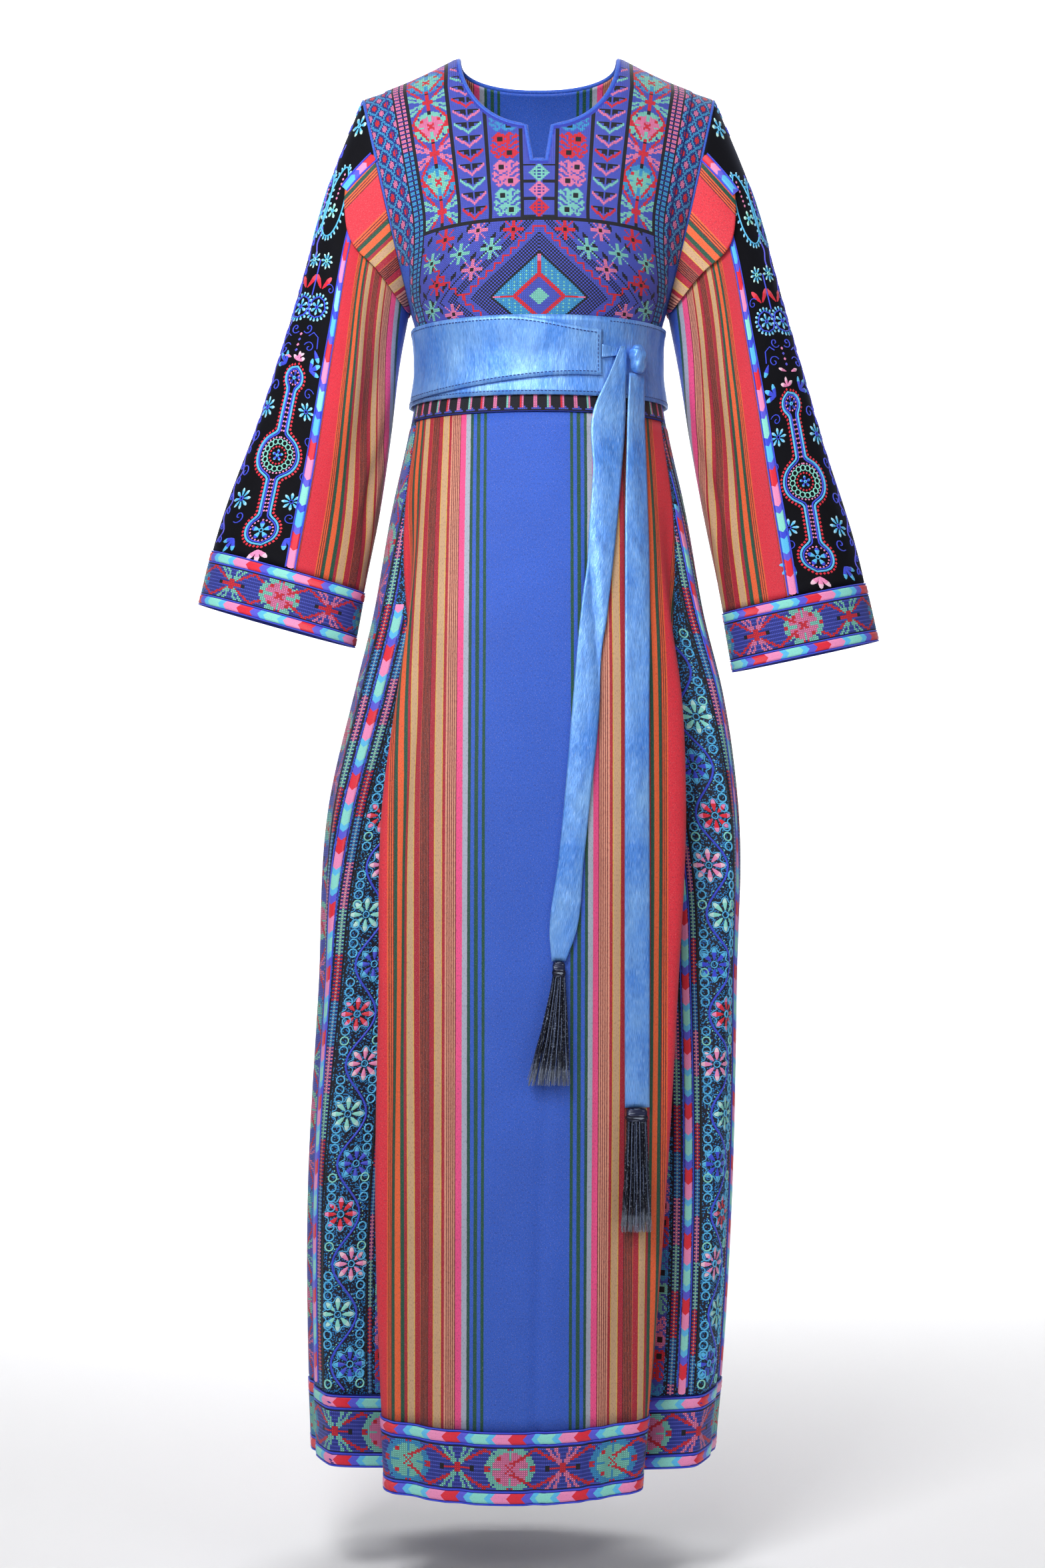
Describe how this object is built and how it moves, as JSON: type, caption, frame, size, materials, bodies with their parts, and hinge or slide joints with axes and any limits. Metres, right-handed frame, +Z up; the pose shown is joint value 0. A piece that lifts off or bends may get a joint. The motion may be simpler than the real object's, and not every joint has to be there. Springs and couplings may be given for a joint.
{
  "type": "palestinian thobe dress",
  "caption": "Long worn thobe of striped and embroidered cloth with an open neck, wide open sleeves and hem, a wound satin belt and hanging tasselled tails",
  "frame": {"origin": "centre of the neck opening, level with the shoulder seams beside it, where the shoulders carry the dress", "axes": "+Z up, the front of the dress faces -Y, +X is to the right in a front view (the wearer's left)"},
  "size_m": [0.6792, 0.339, 1.4102],
  "materials": {
    "blue_cloth": "blue woven cotton",
    "striped_cloth": "striped woven cotton and silk",
    "cross_stitch": "cloth covered in cross-stitch",
    "velvet": "black velvet with couched embroidery",
    "braid": "satin-stitched chevron braid",
    "satin": "blue satin",
    "thread": "dark and silvery metallic thread"
  },
  "bodies": {
    "root": {"belt_flap": "satin", "belt_knot": "satin", "belt_tie": "satin", "belt_wrap": "satin", "bodice_back": "striped_cloth", "bodice_front": "blue_cloth", "chest_panel": "cross_stitch", "cuff_left": "cross_stitch", "cuff_right": "cross_stitch", "hem_band": "cross_stitch", "neck_binding": "blue_cloth", "skirt_back": "striped_cloth", "skirt_front": "striped_cloth", "skirt_side_left": "cross_stitch", "skirt_side_right": "cross_stitch", "sleeve_braid_back_left": "braid", "sleeve_braid_back_right": "braid", "sleeve_braid_front_left": "braid", "sleeve_braid_front_right": "braid", "sleeve_stripe_left": "striped_cloth", "sleeve_stripe_right": "striped_cloth", "sleeve_velvet_left": "velvet", "sleeve_velvet_right": "velvet", "tail_left": "satin", "tail_right": "satin", "tassel_left": "thread", "tassel_right": "thread"}
  },
  "joints": []
}
